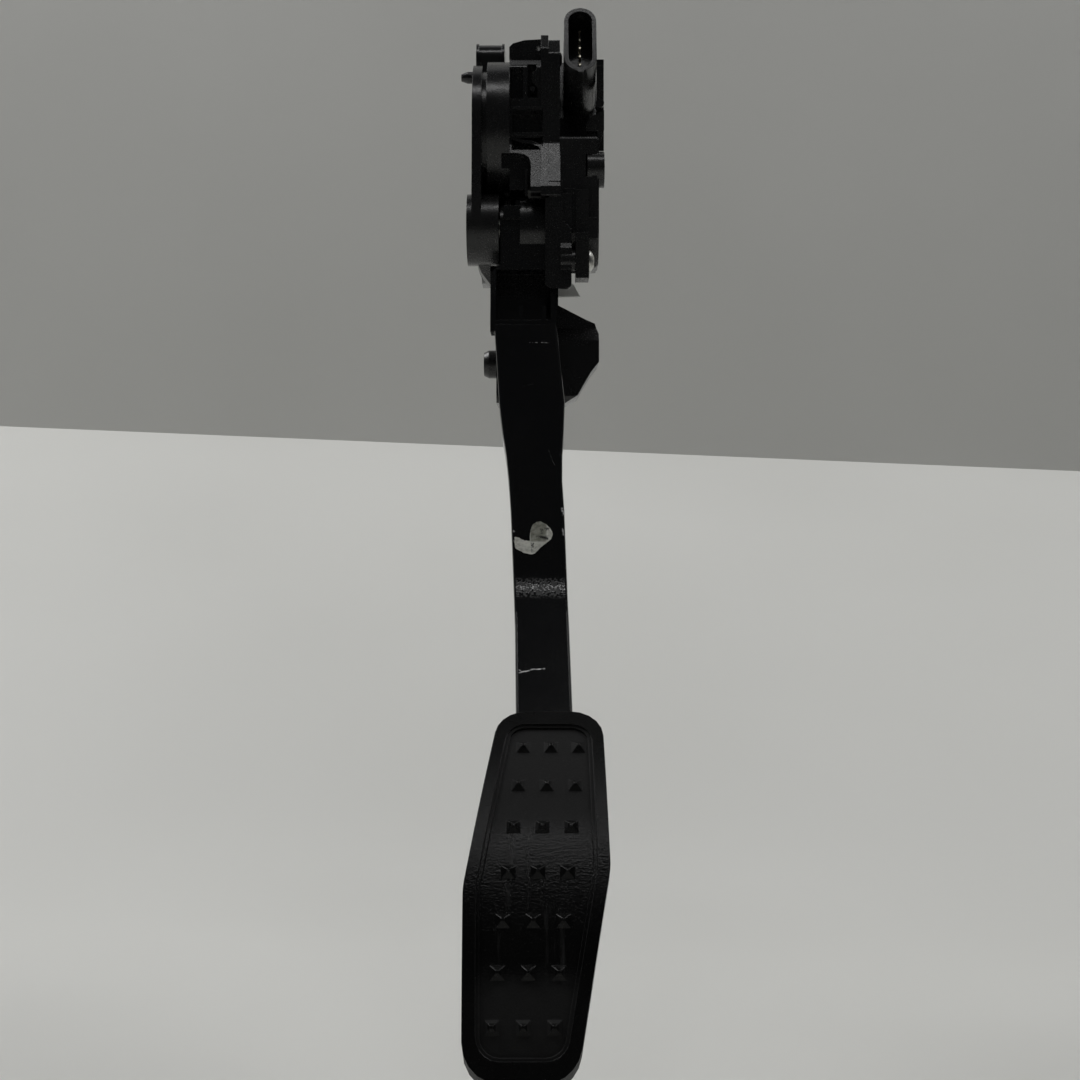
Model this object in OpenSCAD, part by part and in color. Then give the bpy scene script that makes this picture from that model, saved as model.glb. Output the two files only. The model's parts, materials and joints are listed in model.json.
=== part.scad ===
// Hanging accelerator pedal for a car, with its pivot housing, return springs and angle sensor.
// Millimetres. The origin is on the pivot axis, at the left end face of the pivot boss.
// +X runs along the pivot axis, +Y points away from the driver and +Z points up.
// A pair [y, z] is a point in the side view, and a tilt is an angle from the vertical.

/* [Pivot] */
// Radius of the pivot boss
boss_r = 15.5; // [15:0.1:15.8]
// Length of the pivot boss
boss_length = 13.9; // [13:0.1:14.4]
// Radius of the cap over the pivot pin
cap_r = 11; // [9:0.5:12]
// Thickness of the cap over the pivot pin
cap_t = 2.5; // [2:0.1:3]
// Radius of the pivot pin
pin_r = 5; // [4:0.1:5.5]
// Length of the pivot pin inside the hub
pin_reach = 16; // [12:0.5:17]
// Wall of both pivot bushes
bush_wall = 1.5; // [1:0.1:2]
// Radius of the narrow left part of the hub
collar_r = 10.9; // [10:0.1:12]
// Radius of the wide right part of the hub
hub_r = 14; // [13:0.1:14.5]
// Place of the shoulder between the two parts of the hub
collar_x = 23.1; // [21:0.1:24]
// Right end of the hub
hub_x = 40; // [39:0.1:40]
// Radius of the journal on the right end of the hub
journal_r = 8; // [7:0.1:9]
// Length of the journal
journal_length = 5; // [4.5:0.1:5.5]
// Radial clearance of a shaft in its bush
running_gap = 0.05; // [0.02:0.01:0.09]
// Radial clearance of a piece that is pressed or screwed in
fit_gap = 0.02; // [0.01:0.01:0.04]
// Clearance between the hub and the housing beside it
side_gap = 0.5; // [0.3:0.1:0.8]
// Full travel of the pedal in degrees
travel = 14; // [10:1:14]

/* [Housing] */
// Plane where the two halves of the housing meet
split_x = 35.5; // [35.2:0.1:36]
// Wall thickness of the mouldings
wall = 2.5; // [2:0.1:3]
// Thickness of the left parting flange
left_flange_t = 3.3; // [2.5:0.1:4]
// Thickness of the right parting flange
right_flange_t = 5; // [4.8:0.1:5.5]
// Left face of the centre body
core_x = 16; // [15:0.5:17]
// Radius of the chamber that the hub turns in
chamber_r = 17.5; // [17.3:0.1:18]
// Front corner of the sloped flats over the hub
slope_foot = [-19.5, 14.5];
// Front face of the centre body, at the top of the sloped flats
slope_top = [-8, 36];
// Height of the left parting flange
left_flange_top = 85.2; // [84:0.2:86]
// Height of the right parting flange
right_flange_top = 83; // [82:0.2:84]
// Back face of the centre body
core_back = 46; // [45:0.5:48]
// Back face of the spring and lever chamber
chamber_back = 38; // [37.5:0.1:39]
// Floor of the lever chamber
chamber_floor = -9.5; // [-11:0.5:-8]
// Depth of the windows in the front face
window_depth = 7; // [4:0.5:9]

/* [Drum] */
// Radius of the drum flange
drum_r = 31; // [29:0.5:31.5]
// Height of the drum body above its flange
drum_step = 1.5; // [0.5:0.1:2]
// Centre of the drum
drum_at = [19, 46.5];
// Left face of the drum flange
drum_left = 2.2; // [1.8:0.1:2.6]
// Thickness of the drum flange
drum_flange_t = 4.1; // [3.6:0.1:5]
// Right face of the drum
drum_right = 18.5; // [18:0.1:18.6]
// Depth of the groove behind the drum flange
drum_groove = 2.5; // [1:0.5:3]
// Width of the groove behind the drum flange
groove_w = 2.2; // [1:0.1:2.5]
// Depth of the drum pockets
drum_pocket = 11.5; // [9:0.5:12]
// Number of radial ribs in the drum
drum_ribs = 10; // [6:1:12]
// Thickness of a stiffening rib
rib_t = 1.8; // [1.4:0.1:2.4]

/* [Fixings] */
// Outer radius of the mounting sleeves
sleeve_r = 5; // [4.6:0.1:5.2]
// Bore radius of the mounting sleeves
sleeve_bore_r = 3.3; // [3:0.1:3.5]
// Centre of the top mounting boss
top_boss_at = [32, 84.7];
// Radius of the end flanges of the top mounting boss
top_boss_r = 8.5; // [8:0.1:9]
// Waist radius of the top mounting boss
top_waist_r = 7.9; // [7:0.1:8.2]
// Left end of the top mounting boss
top_boss_x = 2.5; // [2.2:0.1:3]
// Length of the top mounting boss
top_boss_length = 13; // [12:0.5:14]
// Thickness of the end flanges of the top mounting boss
top_flange_t = 1.2; // [1:0.1:3]
// Radius of the threaded hole in the drum insert
insert_bore_r = 2.5; // [2.2:0.1:3]
// Centre of the lower mounting boss
lower_boss_at = [25, -56];
// Radius of the lower mounting boss
lower_boss_r = 6.4; // [6:0.1:7]
// Left end of the lower mounting boss
lower_boss_x = 6.2; // [5.8:0.1:7]
// Length of the lower mounting boss
lower_boss_length = 16; // [14:0.5:18]
// Length of the chamfer on the tip of the lower mounting boss
lower_boss_tip = 2.2; // [1:0.1:3]
// Centre of the locating pin
locator_at = [18, 73.3];
// Radius of the locating pin
locator_r = 2.6; // [2.2:0.1:3]
// Straight length of the locating pin
locator_length = 3.2; // [2.6:0.1:4]
// Length of the tapered tip of the locating pin
locator_tip = 2.9; // [2:0.1:3.5]
// Shank radius of the housing screws
screw_r = 2; // [1.6:0.1:2.2]
// Centres of the housing screws
screw_at = [[6, 77.5], [42, 20], [30, -14.5]];
// Depth of the housing screws in the left half
screw_depth = 10; // [7:0.5:12]
// Shank radius of the cover screw
cover_screw_r = 2.5; // [2:0.1:2.7]
// Head radius of the cover screw
cover_head_r = 4.75; // [4.4:0.05:5]
// Height of the cover screw's head
cover_head_t = 2.6; // [2:0.1:3]
// Centre of the cover screw
cover_screw_at = [-16.5, -17];

/* [Sensor] */
// Right face of the sensor housing
sensor_x = 54.5; // [54:0.1:55]
// Thickness of the sensor cover
cover_t = 2.1; // [1.8:0.1:2.6]
// Floor of the sensor chamber
sensor_floor_x = 46; // [45.7:0.1:46.5]
// Thickness of the circuit board
board_t = 1.6; // [1.2:0.1:2]
// Radius of the sensor magnet
magnet_r = 4; // [3:0.1:4.5]
// Thickness of the sensor magnet
magnet_t = 2.5; // [2:0.1:3]
// Radius of the round boss on the cover
round_boss_r = 7.6; // [7:0.1:8]
// Centre of the round boss on the cover
round_boss_at = [-7, 24.8];
// Right end of the round boss and of the clip post
outer_x = 59.7; // [59:0.1:60.5]

/* [Connector] */
// Width of the connector shroud
shroud_w = 14; // [13.6:0.1:14.4]
// Height of the connector shroud's mouth
shroud_h = 33; // [32:0.5:34]
// Length of the connector shroud
shroud_length = 33; // [32:0.5:34]
// Wall of the connector shroud
shroud_wall = 1.8; // [1.5:0.1:2.2]
// Depth of the connector socket
socket_depth = 14; // [12:0.5:15]
// Centre of the connector mouth
mouth_at = [49.25, -13, 79.9];
// Angle of the connector shroud from the vertical
shroud_tilt = 70; // [68:1:71]
// Side of a square connector pin
contact_w = 0.8; // [0.6:0.1:1]
// Length of a connector pin in the socket
contact_reach = 5.6; // [4:0.1:9]
// Spacing of the connector pins
contact_pitch = 4.4; // [3.6:0.1:4.6]
// Number of connector pins
contacts = 6; // [4:1:6]
// Width of the key under the connector mouth
key_w = 2.4; // [1.6:0.1:3]
// Length of the key under the connector mouth
key_length = 4.5; // [3:0.1:6]

/* [Springs] */
// Centre of the return springs along the pivot axis
spring_x = 27; // [26.8:0.1:27.1]
// Distance of the return springs behind the pivot
spring_y = 28; // [27.5:0.1:28.5]
// Height of the face that the springs push against
spring_top = 62; // [61:0.5:63]
// Coil radius of the outer spring
outer_coil_r = 6; // [5.8:0.1:6.1]
// Wire radius of the outer spring
outer_wire_r = 0.85; // [0.7:0.05:0.9]
// Coil radius of the inner spring
inner_coil_r = 3.7; // [3.6:0.1:3.9]
// Wire radius of the inner spring
inner_wire_r = 0.6; // [0.5:0.05:0.7]
// Turns of the outer spring
outer_turns = 7; // [5:0.5:8]
// Turns of the inner spring
inner_turns = 10; // [7:0.5:11]
// Thickness of the seat above the springs
seat_t = 2; // [1.5:0.1:3]
// Clearance round the springs in their chamber
spring_gap = 1.5; // [1.3:0.1:1.6]

/* [Pedal arm] */
// Top edge of the arm's front face
face_top = [-17.7, -44];
// Tilt of the upper arm
upper_tilt = 18; // [16:0.5:19]
// Tilt of the lower arm, where it meets the foot plate
lower_tilt = 44; // [42:0.5:46]
// Radius of the bend between them
bend_r = 50; // [35:1:65]
// Depth of the arm from front to back
arm_depth = 15; // [13:0.5:15]
// Thickness of the arm's front face
face_t = 2.8; // [2.2:0.1:3.5]
// Width of the arm at its top edge
top_w = 27; // [26:0.5:28]
// Width of the arm below its shoulder
waist_w = 22.3; // [20:0.1:24]
// Width of the arm behind the foot plate
foot_w = 21.2; // [19:0.1:23]
// Rounding of the arm's front edges
edge_r = 2; // [1:0.1:3]
// Spacing of the cross ribs behind the arm
rib_pitch = 17; // [13:0.5:24]
// Angle of the cross ribs behind the arm
rib_yaw = 32; // [0:1:45]

/* [Pad] */
// Radius of the tread surface
pad_r = 251.5; // [230:0.5:280]
// Middle of the tread surface
pad_at = [-146.9, -248.4];
// Tilt of the tread surface at its middle
pad_tilt = 37.7; // [36:0.1:39]
// Half length of the pad
pad_half = 67; // [64:0.5:69]
// Thickness of the rubber cover
cover_skin = 3; // [2.4:0.1:4]
// Thickness of the foot plate
plate_t = 4; // [3:0.1:5]
// Thickness of the lip round the foot plate
lip_t = 1.8; // [1.4:0.1:2.4]
// Width of the raised rim along the sides
rim_w = 4.3; // [3.5:0.1:5]
// Width of the raised rim at both ends
rim_end_w = 6.3; // [5:0.1:7]
// Height of the raised rim
rim_h = 1.5; // [1:0.1:2]
// Width of the step inside the rim
step_w = 1.3; // [0.8:0.1:2]
// Rounding of the pad's corners
pad_corner_r = 12; // [9:0.5:14]
// Side of a stud
stud_w = 5.2; // [4:0.1:6]
// Height of a stud
stud_h = 1.8; // [1:0.1:2.2]
// Spacing of the studs across the pad
stud_pitch = 10; // [9:0.1:10.5]
// Spacing of the rows of studs
row_pitch = 16.95; // [15:0.05:17.5]
// Rows of studs
rows = 7; // [5:1:7]
// Columns of studs
columns = 3; // [1:1:3]
// Middle of the stud pattern
stud_x = 31.1; // [30:0.1:32]
// Sideways step of each row of studs
row_skew = 1.55; // [1:0.05:2]

/* [Hidden] */
$fn = 64;

plastic = "#202124";
rubber = "#2b2c2d";
steel = "#b9bcc0";

// Places along the pivot axis
hub_left = boss_length + side_gap;
journal_x = hub_x + journal_length;
bush_x = split_x + right_flange_t;
head_seat_x = bush_x - 0.8;
cover_block_x = 47;
cover_seat_x = 52.7;

// Lever and spring places
lever_top = 4;
lever_bottom = -4;
lever_end = 37;
lever_w = 12;
cup_r = outer_coil_r + outer_wire_r + 1;
cup_t = 1.5;
cup_rim = 2;
spring_foot = lever_top + cup_t;
spring_head = spring_top - seat_t;
spring_r = outer_coil_r + outer_wire_r + spring_gap;
stop_gap = 0.1;

// Angle sensor places
board_x = mouth_at[0] + contact_w / 2;
function shroud_foot(c) = [
    mouth_at[1] + shroud_length * sin(shroud_tilt) + c * cos(shroud_tilt),
    mouth_at[2] - shroud_length * cos(shroud_tilt) + c * sin(shroud_tilt)
];
foot_low = shroud_foot(-shroud_h / 2);
foot_high = shroud_foot(shroud_h / 2 - 1.5);
sensor_profile = [
    [-14, 16, 20], [-11.5, 38.6, 2], [foot_low[0] - 2.8, 40.5, 1.5],
    [foot_low[0], foot_low[1], 10], [foot_high[0], foot_high[1], 2], [42, 77, 5],
    [42, 40, 8], [28, -3, 10], [12, -17, 8], [-8, -17, 8], [-14, -4, 4]
];

// Side view of the centre body and of the parting flanges
core_profile = [
    [slope_foot[0], 12, 0.5], [slope_foot[0], slope_foot[1], 0.8], [slope_top[0], slope_top[1], 3],
    [slope_top[0], 70, 3], [-3, 74.5, 3], [16, 74.5, 6], [core_back, 62, 8],
    [core_back, -10, 6], [36, -19, 4], [15, -19, 1.5], [15, -2, 2], [0, 12, 1]
];
function flange_profile(top) = [
    [slope_foot[0] - 1, 10.5, 0.5], [slope_foot[0] - 1, slope_foot[1], 0.8],
    [slope_top[0] - 2, slope_top[1], 3], [slope_top[0] - 2, top - 8, 3], [-4, top, 3],
    [12, top, 6], [core_back + 2, 65, 8], [core_back + 2, -11, 6], [37, -20, 4],
    [15, -20, 1.5], [15, -2, 2], [0, 10.5, 1]
];

// Vector helpers
function unit(v) = v / norm(v);
function flat(p) = [p[0], p[1]];
function down(tilt) = [-sin(tilt), -cos(tilt)];
function out(tilt) = [-cos(tilt), sin(tilt)];
function inward(a, b) = let (e = unit(b - a)) [-e[1], e[0]];
function radians(angle) = angle * PI / 180;

// Points of one corner of radius r at p, between its neighbours a and b
function corner(a, p, b, r, steps) =
    let (
        u = unit(a - p), w = unit(b - p), half = acos(u * w) / 2,
        c = p + unit(u + w) * r / sin(half),
        first = p + u * r / tan(half) - c, last = p + w * r / tan(half) - c,
        start = atan2(first[1], first[0]), turn = atan2(last[1], last[0]) - start,
        sweep = turn > 180 ? turn - 360 : turn < -180 ? turn + 360 : turn
    )
    [for (i = [0:steps]) c + r * [cos(start + sweep * i / steps), sin(start + sweep * i / steps)]];

// Outline with rounded corners: each point is [a, b, corner radius]
function rounded(points, steps = 5) =
    let (n = len(points))
    [for (i = [0:n - 1])
        each corner(flat(points[(i + n - 1) % n]), flat(points[i]), flat(points[(i + 1) % n]),
                    points[i][2], steps)];

// Outline moved inward: distances[i] belongs to the edge from point i to the next one.
// The points run anticlockwise.
function inset(points, distances) =
    let (n = len(points))
    [for (i = [0:n - 1])
        let (
            p = flat(points[i]), before = flat(points[(i + n - 1) % n]),
            after = flat(points[(i + 1) % n]), d0 = distances[(i + n - 1) % n], d1 = distances[i],
            n0 = inward(before, p), n1 = inward(p, after), k = cross(n0, n1)
        )
        [p[0] + (d0 * n1[1] - d1 * n0[1]) / k, p[1] + (d1 * n0[0] - d0 * n1[0]) / k,
         max(0.3, points[i][2] - min(d0, d1))]];
function reversed(points) = [for (i = [len(points) - 1:-1:0]) points[i]];
function same(points, d) = [for (p = points) d];

// Solids along one axis
module along_x(x0, x1) {
    translate([x0, 0, 0]) rotate([90, 0, 90]) linear_extrude(height = x1 - x0) children();
}
module along_y(y0, y1) {
    translate([0, y1, 0]) rotate([90, 0, 0]) linear_extrude(height = y1 - y0) children();
}
module rod(x0, x1, r, at = [0, 0]) {
    translate([x0, at[0], at[1]]) rotate([0, 90, 0]) cylinder(h = x1 - x0, r = r);
}
module block(low, high) {
    translate(low) cube(high - low);
}
module tube(x0, x1, r, bore, at = [0, 0]) {
    difference() {
        rod(x0, x1, r, at);
        rod(x0 - 1, x1 + 1, bore, at);
    }
}

// Solid skin over rings of points: each ring runs clockwise seen from the last ring
module loft(rings) {
    n = len(rings[0]);
    m = len(rings);
    polyhedron(
        points = [for (ring = rings) each ring],
        faces = [
            [for (j = [n - 1:-1:0]) j],
            for (i = [0:m - 2]) for (j = [0:n - 1]) each [
                [i * n + j, i * n + (j + 1) % n, (i + 1) * n + (j + 1) % n],
                [i * n + j, (i + 1) * n + (j + 1) % n, (i + 1) * n + j]
            ],
            [for (j = [0:n - 1]) (m - 1) * n + j]
        ],
        convexity = 6
    );
}

// Path of the arm's front face, from its top edge to the end behind the foot plate
pad_centre = pad_at - pad_r * out(pad_tilt);
arm_r = pad_r - cover_skin - plate_t;
arm_root = 0.6;
face_r = arm_r + arm_root;
end_tilt = 31;
tangent_at = pad_centre + face_r * out(lower_tilt);
to_corner = cross(tangent_at - face_top, down(lower_tilt)) / cross(down(upper_tilt), down(lower_tilt));
bend_corner = face_top + to_corner * down(upper_tilt);
bend_tangent = bend_r * tan((lower_tilt - upper_tilt) / 2);
upper_length = to_corner - bend_tangent;
bend_length = bend_r * radians(lower_tilt - upper_tilt);
lower_length = norm(tangent_at - bend_corner) - bend_tangent;
plate_length = face_r * radians(lower_tilt - end_tilt);
bend_end = upper_length + bend_length;
plate_start = bend_end + lower_length;
arm_length = plate_start + plate_length;

function face_tilt(s) =
    s < upper_length ? upper_tilt :
    s < bend_end ? upper_tilt + (s - upper_length) / bend_length * (lower_tilt - upper_tilt) :
    s < plate_start ? lower_tilt :
    lower_tilt - (s - plate_start) / plate_length * (lower_tilt - end_tilt);
function face_at(s) =
    s < upper_length ? face_top + s * down(upper_tilt) :
    s < bend_end ? bend_corner - bend_tangent * down(upper_tilt) + bend_r * out(upper_tilt)
                   - bend_r * out(face_tilt(s)) :
    s < plate_start ? bend_corner + (bend_tangent + s - bend_end) * down(lower_tilt) :
    pad_centre + face_r * out(face_tilt(s));

// Width, middle and depth of the arm, by the distance from its top edge
shoulder_s = 36;
waist_s = 71;
width_table = [
    [0, top_w], [shoulder_s, top_w + 0.8], [50, waist_w + 3.4], [60, waist_w + 1.2],
    [waist_s, waist_w], [bend_end, waist_w - 0.7], [plate_start, foot_w], [arm_length, foot_w - 2]
];
middle_table = [
    [0, 25.6], [shoulder_s, 28.4], [50, 28.9], [waist_s, 29.9], [85, 30.8], [bend_end, 32.6],
    [bend_end + 45, 33.4], [plate_start, 33], [arm_length, 30.5]
];
depth_table = [
    [0, arm_depth], [bend_end + 20, arm_depth], [plate_start - 20, arm_depth - 3],
    [arm_length, 6]
];
function middle(s) = lookup(s, middle_table);
function at_depth(s, u, v) =
    let (p = face_at(s) - v * out(face_tilt(s))) [middle(s) + u, p[0], p[1]];
function arm_ring(s) =
    let (h = lookup(s, width_table) / 2, d = lookup(s, depth_table))
    [
        at_depth(s, -h, d),
        for (a = [0:30:90]) at_depth(s, -h + edge_r * (1 - cos(a)), edge_r * (1 - sin(a))),
        for (a = [90:-30:0]) at_depth(s, h - edge_r * (1 - cos(a)), edge_r * (1 - sin(a))),
        at_depth(s, h, d)
    ];
function pocket_ring(s) =
    let (h = lookup(s, width_table) / 2 - wall, d = lookup(s, depth_table))
    [at_depth(s, -h, d + 1), at_depth(s, -h, face_t), at_depth(s, h, face_t), at_depth(s, h, d + 1)];
arm_stations = [
    0, 18, shoulder_s, 50, 60, waist_s, 85, upper_length,
    for (i = [1:4]) upper_length + bend_length * i / 4,
    bend_end + 22, bend_end + 45, (bend_end + 45 + plate_start) / 2,
    for (i = [0:4]) plate_start + plate_length * i / 4
];
pocket_stations = [
    for (s = arm_stations) if (s > 2 && s < arm_length - 2) s,
    arm_length - wall
];
rib_stations = [for (s = [rib_pitch:rib_pitch:arm_length - 6]) s];

// Outline of the pad, seen square to its middle: [x, distance above the middle, corner radius]
pad_outline = [
    [6, -6, 30], [7.2, -pad_half, pad_corner_r], [43.4, -pad_half, pad_corner_r],
    [55.6, 1, 30], [54.7, pad_half, pad_corner_r], [17, pad_half, pad_corner_r]
];
function pad_inset(side, end) = inset(pad_outline, [side, end, side, side, end, side]);

module prism(points) {
    translate([0, pad_at[0], pad_at[1]])
        rotate([90 - pad_tilt, 0, 0])
            translate([0, 0, -30]) linear_extrude(height = 45) polygon(rounded(points));
}
module shell(inner, outer) {
    difference() {
        rod(0, 62, outer, pad_centre);
        rod(-1, 63, inner, pad_centre);
    }
}
module slab(inner, outer, points) {
    intersection() {
        shell(inner, outer);
        prism(points);
    }
}
module ring_slab(inner, outer, points, hole) {
    intersection() {
        shell(inner, outer);
        difference() {
            prism(points);
            prism(hole);
        }
    }
}

// Pedal arm: hub, journal, rear lever, neck, ribbed channel and foot plate
neck_profile = [
    [-collar_r + 0.3, 0], [-12.3, -20], [face_top[0] + 0.2, face_top[1] - 3],
    [face_top[0] + arm_depth - 1.2, face_top[1] - 3], [4, -30], [collar_r - 0.3, 0]
];
neck_x = [10.4, 38.9];
neck_outline = [
    [neck_x[0], face_top[1] - 3], [neck_x[1], face_top[1] - 3], [neck_x[1], -1],
    [hub_left + 0.2, -1], [hub_left + 0.2, -17], [neck_x[0], -21]
];
neck_recess = [
    [-40, -19.5], [0, -19.5], [face_top[0] + 11, face_top[1] + 2], [-40, face_top[1] + 2]
];
neck_ribs = [23.8, 33.6];
neck_rib_top = -36;
module neck() {
    difference() {
        intersection() {
            along_x(8, 41) polygon(neck_profile);
            along_y(-30, 20) polygon(neck_outline);
        }
        difference() {
            along_x(neck_x[0] + wall, neck_x[1] - wall) polygon(neck_recess);
            for (x = neck_ribs)
                block([x - rib_t / 2, -40, -50], [x + rib_t / 2, 20, neck_rib_top]);
        }
    }
}
module lever() {
    along_x(spring_x - lever_w / 2, spring_x + lever_w / 2)
        polygon([[-4, 12.5], [6, 12.5], [19, lever_top], [lever_end, lever_top],
                 [lever_end, lever_bottom], [22, lever_bottom], [6, -12.5], [-4, -12.5]]);
}
module arm_ribs() {
    for (i = [0:len(rib_stations) - 1]) {
        s = rib_stations[i];
        p = at_depth(s, 0, 0);
        translate(p) rotate([-face_tilt(s), 0, 0]) rotate([0, (i % 2 == 0 ? 1 : -1) * rib_yaw, 0])
            block([-25, -1, -rib_t / 2], [25, lookup(s, depth_table) - 1.2, rib_t / 2]);
    }
}
module pedal_arm() {
    color(plastic) difference() {
        union() {
            loft([for (s = arm_stations) arm_ring(s)]);
            slab(arm_r, arm_r + plate_t, pad_inset(lip_t, lip_t));
            rod(hub_left, collar_x, collar_r);
            block([hub_left + 1.5, -collar_r - 1.4, 2.6], [collar_x + 0.5, -5, 8.2]);
            rod(collar_x, hub_x, hub_r);
            rod(hub_x, journal_x, journal_r);
            neck();
            lever();
        }
        difference() {
            loft([for (s = pocket_stations) pocket_ring(s)]);
            arm_ribs();
        }
        rod(hub_left - 1, boss_length + pin_reach + 1, pin_r + running_gap + bush_wall + fit_gap);
        rod(journal_x - magnet_t - cap_t, journal_x + 1, magnet_r + 1.2 + fit_gap);
        translate([spring_x, spring_y, lever_top - 3]) cylinder(h = 4, r = 2 + fit_gap);
    }
}
module left_bush() {
    color("#8a6d3b")
        tube(hub_left, boss_length + pin_reach - 3, pin_r + running_gap + bush_wall,
             pin_r + running_gap);
}
module magnet_carrier() {
    color("#3a3c3f") difference() {
        rod(journal_x - magnet_t - cap_t, journal_x, magnet_r + 1.2);
        rod(journal_x - magnet_t, journal_x + 1, magnet_r + fit_gap);
    }
}
module sensor_magnet() {
    color(steel) rod(journal_x - magnet_t, journal_x, magnet_r);
}
module spring_cup() {
    color("#3a3c3f") translate([spring_x, spring_y, 0]) {
        difference() {
            translate([0, 0, lever_top]) cylinder(h = cup_t + cup_rim, r = cup_r);
            translate([0, 0, spring_foot]) cylinder(h = cup_rim + 1, r = cup_r - 0.8);
        }
        translate([0, 0, lever_top - 3]) cylinder(h = 3 + cup_t, r = 2);
        translate([0, 0, spring_foot]) cylinder(h = 3, r1 = 2.6, r2 = 2.2);
    }
}
module friction_shoe() {
    color("#3a3c3f") intersection() {
        tube(split_x - 9, split_x - 1.5, chamber_r - 0.3, hub_r + fit_gap);
        along_x(0, 60) polygon([[0, 0], [-8, 30], [14, 30]]);
    }
}

// Pad cover: tread, stepped rim, lip round the foot plate and studs
module studs() {
    for (row = [0:rows - 1]) for (column = [0:columns - 1]) {
        k = (rows - 1) / 2 - row;
        translate([0, pad_centre[0], pad_centre[1]])
            rotate([90 - pad_tilt - k * row_pitch / pad_r * 180 / PI, 0, 0])
                translate([stud_x + k * row_skew + (column - (columns - 1) / 2) * stud_pitch, 0,
                           pad_r - 0.2])
                    rotate([0, 0, 45])
                        cylinder(h = stud_h + 0.2, r1 = stud_w / sqrt(2) + 0.1, r2 = 0.7, $fn = 4);
    }
}
module pad_cover() {
    base = arm_r + plate_t;
    rim = pad_inset(rim_w, rim_end_w);
    step = pad_inset(rim_w + step_w, rim_end_w + step_w);
    color(rubber) union() {
        slab(base, pad_r, pad_outline);
        ring_slab(pad_r - 0.1, pad_r + rim_h, pad_outline, rim);
        ring_slab(pad_r - 0.1, pad_r + rim_h / 2, pad_inset(rim_w - 0.2, rim_end_w - 0.2), step);
        difference() {
            ring_slab(arm_r + 0.5, base + 0.1, pad_outline, pad_inset(lip_t - 0.05, lip_t - 0.05));
            intersection() {
                rod(middle(plate_start) - foot_w / 2 - 0.5, middle(plate_start) + foot_w / 2 + 0.7,
                    base, pad_centre);
                block([0, pad_at[0], pad_at[1]], [62, 0, 0]);
            }
        }
        studs();
    }
}

// Main bracket
module drum() {
    flange_x = drum_left + drum_flange_t;
    rod(drum_left, flange_x, drum_r, drum_at);
    rod(flange_x - 1, drum_right, drum_r - drum_groove, drum_at);
    rod(flange_x + groove_w, drum_right, drum_r + drum_step, drum_at);
}
module drum_pockets() {
    difference() {
        tube(drum_left - 1, drum_left + drum_pocket, drum_r - drum_groove - wall, sleeve_r + 3,
             drum_at);
        for (i = [0:drum_ribs - 1])
            translate([0, drum_at[0], drum_at[1]]) rotate([i * 360 / drum_ribs, 0, 0])
                block([0, 0, -rib_t / 2], [drum_right, drum_r, rib_t / 2]);
        rod(0, drum_right, locator_r + 2, locator_at);
    }
}
module locating_pin() {
    rod(drum_left - locator_length, drum_left + 4, locator_r, locator_at);
    translate([drum_left - locator_length, locator_at[0], locator_at[1]]) rotate([0, -90, 0])
        cylinder(h = locator_tip, r1 = locator_r, r2 = locator_r - 1);
}
module top_boss() {
    right = top_boss_x + top_boss_length;
    rod(top_boss_x, right, top_waist_r, top_boss_at);
    rod(top_boss_x, top_boss_x + top_flange_t, top_boss_r, top_boss_at);
    rod(right - top_flange_t, right, top_boss_r, top_boss_at);
    along_x(top_boss_x + top_flange_t + 1.5, right - top_flange_t - 1.5)
        polygon([[22, 66], [44, 60], [top_boss_at[0] + top_waist_r, top_boss_at[1]],
                 [top_boss_at[0] - top_waist_r, top_boss_at[1]]]);
}
side_plate_outline = [
    [drum_left + 1, 30], [drum_left + 1, -9], [drum_left + 1.8, -14], [drum_left + 3.6, -18],
    [hub_left - 4.5, -22.5], [hub_left - 4.5, 30]
];
module carrier_plate() {
    along_x(drum_left, drum_left + drum_flange_t) hull() {
        circle(r = boss_r);
        translate(drum_at) circle(r = drum_r - 1);
    }
    intersection() {
        along_x(drum_left + 1, hub_left - 4.5) hull() {
            translate([5, -6]) circle(r = boss_r - 4);
            translate([14, -11]) circle(r = 12);
            translate([22, 10]) circle(r = 14);
        }
        along_y(-20, 50) polygon(side_plate_outline);
    }
    along_x(drum_left + drum_flange_t - 1, core_x + 1)
        polygon([[15, 22], [15, -17], [24, -19], [36, -19], [core_back, -10], [core_back, 40]]);
    rod(0, boss_length, boss_r);
}
horn_outline = [
    [20, 66], [20, 75.2], [18.2, 76.6], [18.2, 81.4], [19.8, 83], [25, 84.4], [split_x, 85],
    [split_x, 66]
];
eye_at = [31, 80.8];
module horn() {
    difference() {
        along_y(1, 9) polygon(horn_outline);
        translate([eye_at[0], 0, eye_at[1]]) rotate([-90, 0, 0]) cylinder(h = 20, r = 1.1);
    }
}
lower_profile = [[14.5, -16], [40, -16], [40, -40], [35, -75], [12, -75], [10, -72], [10, -47],
                 [14.5, -41]];
lower_hollow = [[17.5, -22.5], [60, -22.5], [60, -72.5], [13, -72.5], [13, -49], [17.5, -43]];
lower_box = [[10, 5, -80], [60, 60, -10]];
lower_ribs_x = [24, 40];
lower_ribs_z = [-60, -44];
lower_outline = [[12.2, -17], [12.2, -74.9], [43.2, -74.9], [48.7, -71.7], [51.5, -66.7],
                 [54.7, -61.2], [58.3, -56.6], [58.3, -43.8], [56.5, -38.8], [52.4, -37],
                 [40, -30.6], [40, -20.3], [split_x, -20.3], [split_x, -17]];
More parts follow.
